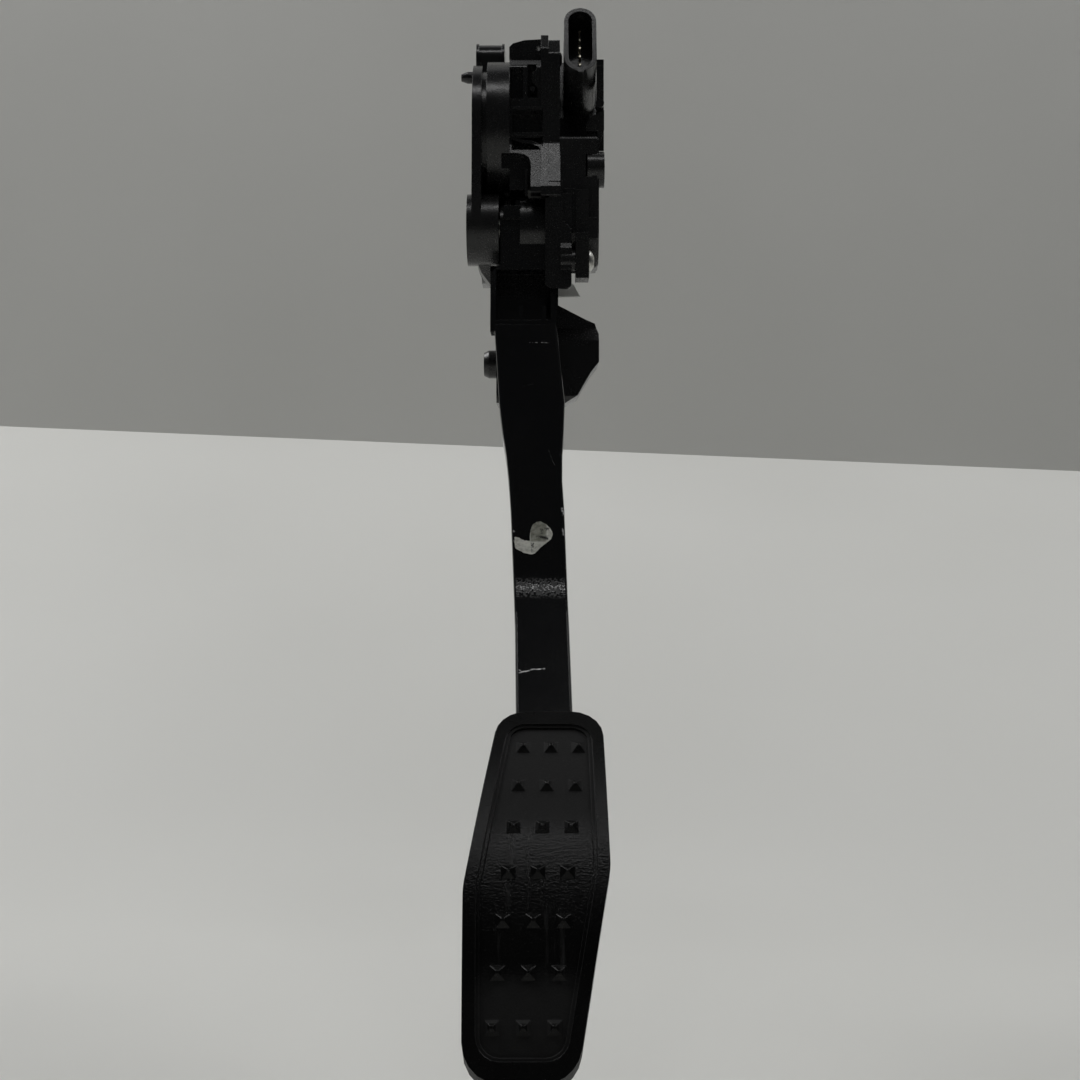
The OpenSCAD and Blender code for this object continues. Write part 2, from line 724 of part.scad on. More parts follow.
module lower_bracket() {
    boss_end = lower_boss_x + lower_boss_length;
    difference() {
        intersection() {
            along_x(lower_box[0][0], lower_box[1][0]) polygon(lower_profile);
            along_y(lower_box[0][1], lower_box[1][1]) polygon(lower_outline);
        }
        difference() {
            intersection() {
                along_x(lower_box[0][0], lower_box[1][0]) polygon(lower_hollow);
                along_y(lower_box[0][1], lower_box[1][1])
                    polygon([for (p = inset([for (q = lower_outline) [q[0], q[1], 0]],
                                            same(lower_outline, wall))) flat(p)]);
            }
            for (x = lower_ribs_x)
                block([x, lower_box[0][1], lower_box[0][2]],
                      [x + rib_t, lower_box[1][1], lower_box[1][2]]);
            for (z = lower_ribs_z)
                block([lower_box[0][0], lower_box[0][1], z],
                      [lower_box[1][0], lower_box[1][1], z + rib_t]);
            rod(lower_boss_x, boss_end, lower_boss_r, lower_boss_at);
        }
    }
    rod(lower_boss_x + lower_boss_tip, boss_end, lower_boss_r, lower_boss_at);
    translate([lower_boss_x, lower_boss_at[0], lower_boss_at[1]]) rotate([0, 90, 0])
        cylinder(h = lower_boss_tip, r1 = sleeve_r + 0.3, r2 = lower_boss_r);
}
// Front face of the centre body: windows as [x0, z0, x1, z1], and outlines in x and z
main_window = [19.5, 40.7, 33, 50.8];
small_window = [19.5, 33, 33, 38.8];
slot_window = [18.9, 55.6, 24.4, 69.6];
frame_w = 1.2;
frame_h = 0.9;
hourglass = [
    [26.3, 56], [26.3, 71], [30.4, 71], [30.4, 68.8], [28.2, 66.6], [28.4, 63], [30.8, 60.4],
    [30.8, 56]
];
post_at = [28.6, 60];
post_r = 1.1;
curved_rib = [
    [18, 38.4], [20.5, 37.8], [23.5, 36.6], [28, 36], [31, 34.8], [33.5, 31], [34.6, 31],
    [32, 36], [28.4, 37.4], [24, 38], [21, 39.2], [18, 39.8]
];
slope_recess = [
    [core_x - 1, 8], [27.8, 8], [27.8, 26.5], [27, 29], [25, 30.6], [22, 31.3], [core_x - 1, 31.5]
];
recess_back = -6;
recess_rib_x = 25.4;
corner_back = 4;
module window(w, front, back) {
    block([w[0], front, w[1]], [w[2], back, w[3]]);
}
module front_windows() {
    front = slope_top[0] - 15;
    back = slope_top[0] + window_depth;
    window(main_window, front, back);
    window(slot_window, front, back);
    difference() {
        window(small_window, front, back);
        along_y(front, back + 1) polygon(curved_rib);
    }
    difference() {
        along_y(front, back) polygon(hourglass);
        translate([post_at[0], front, post_at[1]]) rotate([-90, 0, 0]) cylinder(h = 40, r = post_r);
    }
    difference() {
        along_y(-30, recess_back) polygon(slope_recess);
        block([recess_rib_x, -15, 8], [recess_rib_x + 1, 0, 23]);
    }
}
module window_frame() {
    front = slope_top[0] - frame_h;
    block([main_window[0] - frame_w, front, main_window[1] - frame_w],
          [main_window[2] + frame_w, slope_top[0] + 1, main_window[3] + frame_w]);
}
corner_floor = 0;
back_pockets = [[-3, 13], [27, 38.6], [40.4, 52]];
back_pocket_depth = 5;
module core() {
    difference() {
        union() {
            along_x(core_x, split_x) polygon(rounded(core_profile));
            window_frame();
        }
        block([core_x - 1, slope_foot[0] - 10, corner_floor],
              [drum_right, corner_back, left_flange_top + 5]);
        for (z = back_pockets)
            block([core_x + wall, core_back - back_pocket_depth, z[0]],
                  [split_x - left_flange_t - 1, core_back + 1, z[1]]);
    }
}
chamber_front = 8;
chamber_top = 20;
spring_bore_foot = 15;
module lever_chamber() {
    block([spring_x - cup_r - 0.5, chamber_front, chamber_floor],
          [split_x + 1, chamber_back, chamber_top]);
    block([spring_x, spring_y - spring_r, spring_bore_foot],
          [split_x + 1, spring_y + spring_r, spring_top]);
    translate([spring_x, spring_y, spring_bore_foot])
        cylinder(h = spring_top - spring_bore_foot, r = spring_r);
}
module main_bracket() {
    insert_end = drum_left + drum_pocket;
    color(plastic) difference() {
        union() {
            drum();
            top_boss();
            carrier_plate();
            core();
            along_x(split_x - left_flange_t, split_x)
                polygon(rounded(flange_profile(left_flange_top)));
            horn();
            locating_pin();
            lower_bracket();
        }
        drum_pockets();
        front_windows();
        lever_chamber();
        rod(hub_left - 0.5, split_x + 1, chamber_r);
        rod(-1, cap_t, cap_r + fit_gap);
        rod(0, boss_length + 1, pin_r + fit_gap);
        rod(top_boss_x - 1, top_boss_x + top_boss_length + 1, sleeve_r + fit_gap, top_boss_at);
        rod(drum_left - 1, insert_end, sleeve_r + fit_gap, drum_at);
        rod(lower_boss_x - 1, lower_boss_x + lower_boss_length, sleeve_r + fit_gap, lower_boss_at);
        for (at = screw_at) rod(split_x - screw_depth - 1, split_x + 1, screw_r + fit_gap, at);
        retainer_slot(0.05);
        stop_slot();
    }
}
module axle_cap() {
    color(plastic) rod(0, cap_t, cap_r);
}
module pivot_pin() {
    color(steel) rod(cap_t, boss_length + pin_reach, pin_r);
}
module mount_sleeve(x0, length, at, bore) {
    color(steel) tube(x0, x0 + length, sleeve_r, bore, at);
}
module top_mount_sleeve() {
    mount_sleeve(top_boss_x, top_boss_length, top_boss_at, sleeve_bore_r);
}
module drum_insert() {
    mount_sleeve(drum_left, drum_pocket, drum_at, insert_bore_r);
}
module lower_mount_sleeve() {
    mount_sleeve(lower_boss_x, lower_boss_length, lower_boss_at, sleeve_bore_r);
}

// Retainer clip: a light tab that sits in a slot of the lower bracket
module retainer_slot(gap) {
    along_y(20 - gap, 23 + gap)
        polygon([[33 - gap, -20 + gap], [47, -20 + gap], [50, -25.5 - gap], [33 - gap, -25.5 - gap]]);
}
module retainer_clip() {
    color("#8b8c8a") retainer_slot(0);
}

// Stops
module idle_stop_pad() {
    color(rubber) block([spring_x - 4, 26, chamber_floor],
                        [spring_x + 4, 34, lever_bottom - stop_gap]);
}
stop_x = [20, 34];
stop_h = 13;
arm_back = face_at(5) - arm_depth * out(upper_tilt);
stop_face = arm_back[0] * cos(travel) - arm_back[1] * sin(travel) + 0.2;
stop_top = arm_back[0] * sin(travel) + arm_back[1] * cos(travel);
module stop_slot() {
    block([stop_x[0], stop_face, stop_top - stop_h], [stop_x[1], 11.5, stop_top]);
}
module full_travel_stop() {
    color(rubber) stop_slot();
}

// Springs
module coil(r, wire_r, z0, z1, turns, sides = 6, steps = 14) {
    count = round(turns * steps);
    low = z0 + wire_r;
    high = z1 - wire_r;
    translate([spring_x, spring_y, 0]) loft([
        for (i = [0:count])
            let (a = 360 * i / steps, z = low + (high - low) * i / count)
            [for (j = [0:sides - 1])
                let (b = -360 * j / sides, q = r + wire_r * cos(b))
                [q * cos(a), q * sin(a), z + wire_r * sin(b)]]
    ]);
}
module outer_return_spring() {
    color(steel) coil(outer_coil_r, outer_wire_r, spring_foot, spring_head, outer_turns);
}
module inner_return_spring() {
    color(steel) coil(inner_coil_r, inner_wire_r, spring_foot, spring_head, inner_turns);
}
module spring_seat() {
    color("#3a3c3f") translate([spring_x, spring_y, 0]) {
        translate([0, 0, spring_head]) cylinder(h = seat_t, r = spring_r - 0.3);
        translate([0, 0, spring_head - 3]) cylinder(h = 3.5, r1 = 2.2, r2 = 2.6);
    }
}

// Sensor housing with the connector shroud
module in_shroud() {
    translate(mouth_at) rotate([shroud_tilt, 0, 0]) children();
}
module obround(w, h, z0, z1) {
    for (side = [-1, 1]) translate([0, side * (h - w) / 2, z0]) cylinder(h = z1 - z0, r = w / 2);
    translate([-w / 2, -(h - w) / 2, z0]) cube([w, h - w, z1 - z0]);
}
module contact_bars(gap) {
    for (i = [0:contacts - 1])
        translate([-contact_w / 2 - gap, (i - (contacts - 1) / 2) * contact_pitch - contact_w / 2 - gap,
                   -shroud_length - 6])
            cube([contact_w + 2 * gap, contact_w + 2 * gap,
                  shroud_length + 6 - socket_depth + contact_reach]);
}
skirt_outline = [
    [split_x + 0.1, 17, 0.3], [split_x + 0.1, 9.8, 0.3], [34, 9.8, 0.3], [34, -28.2, 2.5],
    [45.3, -29.2, 2], [45.3, -3.6, 0.5], [41.6, 0, 0.3], [41.6, 17, 0.3]
];
lug_profile = [
    [-21, -21], [-12, -21], [-6, -15], [-12, -4], [-13, 12], [slope_foot[0] + 1, 12],
    [slope_foot[0] + 1, -8], [-21, -12]
];
module front_skirt() {
    along_y(slope_foot[0], slope_foot[0] + wall)
        polygon(rounded(skirt_outline));
    along_x(bush_x + 0.1, skirt_outline[4][0]) polygon(lug_profile);
    block([skirt_outline[6][0] + 0.3, -16.4, -4], [cover_block_x - 0.1, -12, 14.6]);
    rod(bush_x + 0.1, cover_block_x - 0.1, cover_screw_r + 2.5, cover_screw_at);
}
module shroud_key() {
    in_shroud() translate([-key_w / 2, -shroud_h / 2 - 1, -key_length])
        cube([key_w, 2, key_length + 0.3]);
}
module shroud_root() {
    intersection() {
        in_shroud() obround(shroud_w, shroud_h, -shroud_length - 5, -shroud_length + 1);
        block([bush_x, 0, 0], [sensor_x, core_back, 2 * mouth_at[2]]);
    }
}
module sensor_housing() {
    color(plastic) difference() {
        union() {
            along_x(split_x, bush_x) polygon(rounded(flange_profile(right_flange_top)));
            along_x(bush_x - 0.1, sensor_x) polygon(rounded(sensor_profile));
            in_shroud() obround(shroud_w, shroud_h, 0.3 - shroud_length, 0);
            shroud_key();
            shroud_root();
            front_skirt();
        }
        in_shroud() obround(shroud_w - 2 * shroud_wall, shroud_h - 2 * shroud_wall,
                            -socket_depth, 1);
        in_shroud() contact_bars(0.02);
        along_x(sensor_floor_x, sensor_x + 1)
            polygon(rounded(inset(reversed(sensor_profile), same(sensor_profile, wall))));
        rod(split_x - 1, hub_x + side_gap, hub_r + 0.6);
        rod(split_x, sensor_floor_x + 1, journal_r + running_gap + bush_wall + fit_gap);
        rod(outer_x - 8, sensor_x + 1, round_boss_r + 0.3, round_boss_at);
        for (at = screw_at) {
            rod(split_x - 1, bush_x + 1, screw_r + fit_gap, at);
            rod(head_seat_x, bush_x + 1, screw_r * 1.9 + 0.3, at);
        }
        rod(skirt_outline[4][0] - 3, cover_block_x, cover_screw_r + fit_gap, cover_screw_at);
    }
}
module right_bush() {
    color("#8a6d3b") tube(hub_x + side_gap, sensor_floor_x - 0.5,
                          journal_r + running_gap + bush_wall, journal_r + running_gap);
}
module circuit_board() {
    color("#2d5a3a") difference() {
        along_x(board_x, board_x + board_t)
            polygon(rounded(inset(reversed(sensor_profile), same(sensor_profile, wall + 0.3))));
        rod(board_x - 1, board_x + 4, round_boss_r + 0.6, round_boss_at);
    }
}
module hall_sensors() {
    color("#1a1a1a") for (z = [-3.2, 1.2])
        block([board_x - 1.4, -2.5, z], [board_x, 2.5, z + 2]);
}
module connector_pins() {
    color("#c9b26a") in_shroud() contact_bars(0);
}
cover_strip = [[cover_block_x, -17, -7], [cover_seat_x, -14.2, 14]];
cover_lug = [[-22, -25], [-11, -25], [-9.2, -18], [-14.4, -5.5], [-22, -5.5]];
bead_h = 0.7;
module cover_bead() {
    ring = reversed(sensor_profile);
    difference() {
        along_x(sensor_x + cover_t - 0.1, sensor_x + cover_t + bead_h) difference() {
            polygon(rounded(inset(ring, same(ring, 1)), 3));
            polygon(rounded(inset(ring, same(ring, 2.4)), 3));
        }
        block([sensor_x, clip_web_y[0] - 1, clip_profile[0][1] - 1],
              [outer_x, clip_profile[1][0] + 1, clip_profile[2][1]]);
    }
}
module sensor_cover() {
    color(plastic) difference() {
        union() {
            along_x(sensor_x, sensor_x + cover_t) polygon(rounded(sensor_profile));
            rod(outer_x - 7.4, outer_x, round_boss_r, round_boss_at);
            cover_bead();
            block(cover_strip[0], cover_strip[1]);
            along_x(cover_block_x, cover_seat_x) polygon(cover_lug);
            block([cover_seat_x - 2, -17, -7], [sensor_x + cover_t, -14.2, 2]);
            block([sensor_x, -17, -7], [sensor_x + cover_t, -11, 2]);
        }
        rod(outer_x - 3, outer_x + 1, round_boss_r - 2, round_boss_at);
        rod(cover_block_x - 1, cover_seat_x + 1, cover_screw_r + fit_gap, cover_screw_at);
    }
}
clip_profile = [
    [-6, 33.5], [4, 33.5], [4, 50], [0, 53], [-1, 71], [-0.4, 71], [-0.4, 73.6], [-5.6, 73.6],
    [-5.6, 71], [-5, 71], [-5.5, 52], [-7, 48]
];
clip_web = [
    [52, 41.3], [52, 44.5], [54, 47.5], [outer_x, 50.5], [outer_x, 42], [57.4, 33.5],
    [sensor_x + cover_t + 0.1, 33.5], [sensor_x + cover_t + 0.1, 41.3]
];
clip_web_y = [-9, -5];
clip_roll_at = [57.8, 53.5];
module harness_clip() {
    color(plastic) {
        along_x(sensor_x + cover_t, outer_x) polygon(clip_profile);
        along_y(clip_web_y[0], clip_web_y[1]) polygon(clip_web);
        translate([clip_roll_at[0], clip_web_y[0], clip_roll_at[1]]) rotate([-90, 0, 0])
            cylinder(h = 6, r = outer_x - clip_roll_at[0], $fn = 24);
    }
}

// Screws: a pan head on a straight shank
module screw(head_x, tip_x, r, head_r, head_t, at) {
    rod(tip_x, head_x, r, at);
    translate([head_x, at[0], at[1]]) rotate([0, 90, 0]) difference() {
        intersection() {
            cylinder(h = head_t, r = head_r);
            translate([0, 0, head_t - head_r * 1.35]) sphere(r = head_r * 1.35);
        }
        translate([0, 0, head_t - 1.4]) cylinder(h = 3, r = head_r * 0.42, $fn = 6);
    }
}
module cover_screw() {
    color(steel) screw(cover_seat_x, skirt_outline[4][0] - 3, cover_screw_r, cover_head_r,
                       cover_head_t, cover_screw_at);
}
module housing_screws() {
    color(steel) for (at = screw_at)
        screw(head_seat_x, split_x - screw_depth, screw_r, screw_r * 1.9, 2.2, at);
}

main_bracket();
sensor_housing();
sensor_cover();
harness_clip();
cover_screw();
housing_screws();
axle_cap();
pivot_pin();
left_bush();
right_bush();
circuit_board();
hall_sensors();
connector_pins();
outer_return_spring();
inner_return_spring();
spring_seat();
spring_cup();
idle_stop_pad();
full_travel_stop();
top_mount_sleeve();
drum_insert();
lower_mount_sleeve();
retainer_clip();
pedal_arm();
pad_cover();
magnet_carrier();
sensor_magnet();
friction_shoe();
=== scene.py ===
"""Looks of the accelerator pedal: camera, studio, procedural materials and surface detail.

Everything is in metres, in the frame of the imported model: X along the pivot axis, Y away from
the driver and Z up. Sizes written in millimetres are multiplied by MM.
"""

import json
import math
import random

import bmesh
import bpy
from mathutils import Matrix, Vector


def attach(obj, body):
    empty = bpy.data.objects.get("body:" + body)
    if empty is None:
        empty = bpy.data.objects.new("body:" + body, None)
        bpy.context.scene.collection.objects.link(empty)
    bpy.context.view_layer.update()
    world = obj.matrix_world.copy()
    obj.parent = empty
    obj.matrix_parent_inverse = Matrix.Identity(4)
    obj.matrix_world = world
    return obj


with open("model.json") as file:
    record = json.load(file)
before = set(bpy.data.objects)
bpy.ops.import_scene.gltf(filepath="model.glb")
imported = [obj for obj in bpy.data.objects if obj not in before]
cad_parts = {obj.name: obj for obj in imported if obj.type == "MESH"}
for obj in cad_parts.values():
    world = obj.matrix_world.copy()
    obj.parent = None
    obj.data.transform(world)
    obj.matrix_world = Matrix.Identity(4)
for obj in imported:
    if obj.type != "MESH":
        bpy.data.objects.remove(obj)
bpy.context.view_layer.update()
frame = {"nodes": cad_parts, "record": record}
nodes = frame["nodes"]

MM = 0.001

# Camera
CAMERA_AT = Vector((31.8, -618.0, -136.6)) * MM
FOCAL_PIXELS = 1400.0
FRAME_PIXELS = 1080.0
SENSOR_WIDTH = 36.0

# The arm's front face: its lean above and below the bend, and a point of its upper part in [y, z]
UPPER_TILT = math.radians(18)
LOWER_TILT = math.radians(44)
UPPER_FACE_AT = (-17.7 * MM, -44 * MM)

# The tread is part of a drum: its axis in [y, z], and the radius of its floor
TREAD_AXIS = (52.1 * MM, -402.2 * MM)
TREAD_RADIUS = 251.5 * MM

# Zones along Z in mm, which fade in from the first height to the second and out from the third
CHIPPED = (-150, -112, -96, -70)
SMOOTHED = (-216, -212, -141, -140)
SPECKLED = (-160.5, -157.5, -153.5, -151)
WORN = (-286, -272, -242, -226)

# Scratches on the arm's face in mm: [x, z] of both ends, width, and their shade
SCRATCHES = [
    ((27.1, -52.1), (35.8, -52.4), 0.28, 0.30),
    ((23.5, -187.6), (28.8, -186.2), 0.34, 0.75),
    ((28.4, -186.3), (33.9, -185.9), 0.30, 0.80),
    ((23.4, -186.4), (24.8, -186.8), 0.24, 0.45),
    ((35.0, -99.0), (38.2, -106.0), 0.16, 0.07),
    ((24.5, -72.0), (29.0, -70.5), 0.12, 0.05),
    ((40.7, -123.2), (41.3, -126.8), 0.55, 0.60),
    ((41.2, -131.6), (41.4, -135.0), 0.42, 0.45),
    ((20.6, -132.3), (21.6, -133.4), 0.45, 0.50),
    ((20.9, -136.6), (21.6, -137.4), 0.40, 0.45),
]

# The torn remnant, a round patch with a tail. Its outline and its parts are in the pixels of the
# photograph's view, and are laid on the arm's face by on_arm_face.
REMNANT = [
    (540.2, 521.7), (545.8, 523.9), (550.7, 528.8), (552.8, 535.1), (550.7, 540.0),
    (547.2, 542.1), (540.2, 547.7), (535.2, 553.3), (531.7, 554.4), (523.3, 552.6),
    (515.6, 548.4), (514.6, 542.1), (514.6, 536.8), (519.1, 537.9), (524.7, 540.7),
    (530.1, 540.7), (530.3, 532.3), (532.4, 525.3), (535.9, 522.4)
]
PATCH_CORNER = (531.0, 541.5)
# Right of this point the round patch keeps the tail's paler colour, as a painted highlight
PAINTED_HIGHLIGHT_EDGE = (546.5, 533.0)
CRACK = ((536.0, 535.5), (549.0, 539.0))
TEAR_PIECES = 4
TEAR_REACH = 0.35
TEAR_SEED = 7
PAPER_GAP = 0.02 * MM
PAPER_THICKNESS = 0.1 * MM

# Stage: the floor's [y, z] where it starts, where it begins to rise and where it meets the wall
FLOOR_FRONT = (-1.6, -0.36)
FLOOR_FOOT = (0.25, -0.36)
FLOOR_CREASE = (1.0, -0.029)
FLOOR_BEND_RADIUS = 0.5
FLOOR_BEND_STEPS = 8
FLOOR_SHADE = 0.69
WALL_TOP = 1.9
WALL_OVERLAP = 0.002
WALL_SHADE = 0.57
STAGE_HALF_WIDTH = 2.6
# Rise of the stage per metre along X, because its horizon isn't level
STAGE_SIDE_SLOPE = -0.0417

# The strip light stands at a height above the horizon that the middle of the arm's bend mirrors
STRIP_AIM = Vector((0.03, -0.05, -0.1))
STRIP_HEIGHT = math.radians(69)
STRIP_DISTANCE = 2.1


def make_camera():
    data = bpy.data.cameras.new("camera")
    data.sensor_width = SENSOR_WIDTH
    data.lens = SENSOR_WIDTH * FOCAL_PIXELS / FRAME_PIXELS
    data.clip_start = 0.01
    camera = bpy.data.objects.new("camera", data)
    camera.location = CAMERA_AT
    camera.rotation_euler = (math.pi / 2, 0, 0)
    bpy.context.scene.collection.objects.link(camera)
    bpy.context.scene.camera = camera


def on_arm_face(px, py, lift=0.0):
    """The point of the upper arm's front face that shows at a pixel of the photograph's view."""
    slope = math.tan(UPPER_TILT)
    ray_x = (px - FRAME_PIXELS / 2) / FOCAL_PIXELS
    ray_z = -(py - FRAME_PIXELS / 2) / FOCAL_PIXELS
    # The face, y = face y + slope * (z - face z), meets z = camera z + ray_z * (y - camera y)
    start = UPPER_FACE_AT[0] + slope * (CAMERA_AT.z - UPPER_FACE_AT[1])
    y = (start - slope * ray_z * CAMERA_AT.y) / (1 - slope * ray_z)
    away = y - CAMERA_AT.y
    point = Vector((CAMERA_AT.x + ray_x * away, y, CAMERA_AT.z + ray_z * away))
    return point + Vector((0, -math.cos(UPPER_TILT), math.sin(UPPER_TILT))) * lift


def grey(value):
    return (value, value, value, 1)


# Shader graphs
class Graph:
    """A material's node tree, with short calls for the nodes that the finishes use."""

    def __init__(self, name):
        self.material = bpy.data.materials.new(name)
        self.material.use_nodes = True
        self.tree = self.material.node_tree
        self.shader = self.tree.nodes["Principled BSDF"]
        self.coords = self.node("ShaderNodeTexCoord", {}).outputs["Object"]

    def feed(self, socket, source):
        """Link a socket to another one, or set it to a value."""
        if isinstance(source, bpy.types.NodeSocket):
            self.tree.links.new(source, socket)
        else:
            socket.default_value = source

    def node(self, kind, inputs, **settings):
        made = self.tree.nodes.new(kind)
        for name, value in settings.items():
            setattr(made, name, value)
        for key, source in inputs.items():
            self.feed(made.inputs[key], source)
        return made

    def stretched(self, scale):
        made = self.node("ShaderNodeMapping", {"Vector": self.coords, "Scale": scale})
        return made.outputs["Vector"]

    def noise(self, scale, detail=2.0, roughness=0.5, vector=None):
        made = self.node("ShaderNodeTexNoise", {
            "Vector": self.coords if vector is None else vector,
            "Scale": scale, "Detail": detail, "Roughness": roughness,
        })
        return made.outputs["Fac"]

    def cells(self, scale):
        made = self.node("ShaderNodeTexVoronoi", {"Vector": self.coords, "Scale": scale})
        return made.outputs["Distance"]

    def math(self, operation, a, b=0.0, clamp=False):
        made = self.node("ShaderNodeMath", {0: a, 1: b}, operation=operation, use_clamp=clamp)
        return made.outputs[0]

    def times(self, a, b):
        """The product of two masks."""
        return self.math("MULTIPLY", a, b, clamp=True)

    def between(self, value, low, high, to_low=0.0, to_high=1.0, smooth=False):
        made = self.node("ShaderNodeMapRange", {
            "Value": value, "From Min": low, "From Max": high,
            "To Min": to_low, "To Max": to_high,
        }, interpolation_type="SMOOTHSTEP" if smooth else "LINEAR")
        return made.outputs["Result"]

    def zone(self, value, heights, smooth=False):
        """1 between two heights, faded out below and above them."""
        foot, full_foot, full_top, top = (height * MM for height in heights)
        return self.times(self.between(value, foot, full_foot, smooth=smooth),
                          self.between(value, top, full_top, smooth=smooth))

    def mix(self, factor, a, b, kind="RGBA"):
        made = self.node("ShaderNodeMix", {"Factor": factor, "A": a, "B": b}, data_type=kind)
        return made.outputs["Result"]

    def axis(self, name, vector=None):
        made = self.node("ShaderNodeSeparateXYZ", {0: self.coords if vector is None else vector})
        return made.outputs[name]

    def surface_normal(self):
        """The normal in the object's own axes."""
        return self.node("ShaderNodeTexCoord", {}).outputs["Normal"]

    def forward_normal(self, angle):
        """The normal, in world axes, of a face towards -Y that leans back by an angle."""
        made = self.node("ShaderNodeCombineXYZ", {
            "Y": self.math("MULTIPLY", self.math("COSINE", angle), -1.0),
            "Z": self.math("SINE", angle),
        })
        turned = self.node("ShaderNodeVectorTransform", {"Vector": made.outputs["Vector"]},
                           vector_type="NORMAL", convert_from="OBJECT", convert_to="WORLD")
        return turned.outputs["Vector"]

    def soft_edges(self, radius):
        return self.node("ShaderNodeBevel", {"Radius": radius}, samples=4).outputs["Normal"]

    def bump(self, height, distance, strength=1.0, normal=None):
        inputs = {"Distance": distance, "Strength": strength, "Height": height}
        if normal is not None:
            inputs["Normal"] = normal
        return self.node("ShaderNodeBump", inputs).outputs["Normal"]

    def edge_wear_and_highlight(self, radius, low, high):
        """1 along sharp edges, 0 on flats: it marks worn edges, and on the tread the edges that
        get a painted highlight.
        """
        flat = self.node("ShaderNodeNewGeometry", {}).outputs["True Normal"]
        made = self.node("ShaderNodeVectorMath", {0: self.soft_edges(radius), 1: flat},
                         operation="DOT_PRODUCT")
        return self.between(made.outputs["Value"], high, low)

    def dust(self, scale, where):
        """Fine specks where the mask allows them."""
        return self.times(self.between(self.noise(scale, 1.0), 0.70, 0.78), where)

    def output(self, colour, roughness, normal, metallic=0.0, specular=0.5):
        for name, source in (("Base Color", colour), ("Roughness", roughness),
                             ("Normal", normal), ("Metallic", metallic),
                             ("Specular IOR Level", specular)):
            self.feed(self.shader.inputs[name], source)
        return self.material


# Finishes
def black_plastic():
    """Black moulding with a spark-eroded grain, faint flow marks, dust and softened edges."""
    g = Graph("black_plastic")
    grain = g.noise(1500.0, 2.0, 0.6)
    flow = g.noise(22.0, 4.0, 0.6)
    smear = g.noise(9.0, 5.0, 0.65, g.stretched((3.0, 1.0, 0.6)))
    dust = g.dust(3600.0, g.between(flow, 0.42, 0.75))
    wear = g.edge_wear_and_highlight(0.5 * MM, 0.80, 0.985)
    colour = g.mix(g.between(smear, 0.3, 0.8), (0.006, 0.006, 0.00648, 1),
                   (0.0126, 0.0126, 0.0123, 1))
    colour = g.mix(g.times(wear, 0.25), colour, grey(0.035))
    colour = g.mix(g.times(dust, 0.35), colour, (0.20, 0.19, 0.17, 1))
    roughness = g.math("ADD", g.between(flow, 0.3, 0.7, 0.19, 0.33),
                       g.between(grain, 0.35, 0.65, -0.04, 0.04), clamp=True)
    return g.output(colour, roughness, g.bump(grain, 0.045 * MM, 1.0, g.soft_edges(0.28 * MM)))


def arm_plastic():
    """The arm's glossy moulding, with scratches, chipped edges and a speckled bend."""
    g = Graph("arm_plastic")
    grain = g.noise(1500.0, 2.0, 0.6)
    flow = g.noise(16.0, 4.0, 0.6)
    x, z = g.axis("X"), g.axis("Z")
    chipped = g.times(g.zone(z, CHIPPED), g.between(x, 34 * MM, 38 * MM))
    chips = g.times(g.edge_wear_and_highlight(0.6 * MM, 0.75, 0.98),
                    g.between(g.noise(420.0, 3.0), 0.60, 0.66))
    dust = g.dust(3000.0, g.between(flow, 0.40, 0.8))
    colour = g.mix(g.between(flow, 0.3, 0.75), (0.0030, 0.0032, 0.0038, 1), grey(0.0065))
    colour = g.mix(g.times(dust, 0.35), colour, (0.22, 0.21, 0.19, 1))
    colour = g.mix(g.times(chips, chipped), colour, grey(0.24))
    for start, end, width, shade in SCRATCHES:
        mark = scratch_mask(g, x, z, Vector(start) * MM, Vector(end) * MM, width * MM)
        colour = g.mix(mark, colour, grey(shade))

    # The front face is shaded as one smooth bend over its facets
    side, ahead = (g.axis(name, g.surface_normal()) for name in "XY")
    front = g.times(g.between(g.math("ABSOLUTE", side), 0.50, 0.30),
                    g.between(ahead, -0.55, -0.65))
    lean = g.between(z, -146.5 * MM, -161 * MM, UPPER_TILT, LOWER_TILT, smooth=True)
    normal = g.mix(g.times(front, g.zone(z, SMOOTHED)), g.soft_edges(0.3 * MM),
                   g.forward_normal(lean), kind="VECTOR")

    # Where the bend mirrors the strip light, its coarse grain breaks the reflection up
    speckled = g.times(g.zone(z, SPECKLED), front)
    speckle = g.noise(1050.0, 1.0)
    uneven = g.math("MULTIPLY", speckled, g.between(speckle, 0.44, 0.56, -0.05, 0.36))
    roughness = g.math("ADD", g.between(flow, 0.3, 0.7, 0.10, 0.14),
                       g.between(grain, 0.35, 0.65, -0.03, 0.04), clamp=True)
    hub_roughness = g.between(z, -34 * MM, -30 * MM, 0, 0.14)
    roughness = g.math("ADD", g.math("ADD", roughness, hub_roughness), uneven, clamp=True)
    height = g.math("ADD", g.math("MULTIPLY", grain, 0.2),
                    g.math("MULTIPLY", speckle, speckled))
    return g.output(colour, roughness, g.bump(height, 0.10 * MM, 1.0, normal))


def scratch_mask(g, x, z, start, end, width):
    """1 on a thin line between two points of the arm's face, broken up along its length."""
    fade, sway = 0.6 * MM, 1.2 * MM
    length = (end - start).length
    run, rise = (end - start) / length
    from_x, from_z = g.math("SUBTRACT", x, start[0]), g.math("SUBTRACT", z, start[1])
    along = g.math("ADD", g.math("MULTIPLY", from_x, run), g.math("MULTIPLY", from_z, rise))
    across = g.math("ADD", g.math("MULTIPLY", from_x, -rise), g.math("MULTIPLY", from_z, run))
    wobble = g.math("MULTIPLY", g.math("SUBTRACT", g.noise(160.0, 2.0), 0.5), sway)
    near = g.between(g.math("ABSOLUTE", g.math("ADD", across, wobble)), width, width * 0.3)
    inside = g.times(g.between(along, 0, fade), g.between(along, length, length - fade))
    broken = g.between(g.noise(900.0, 2.0), 0.40, 0.55)
    return g.times(g.times(near, inside), broken)


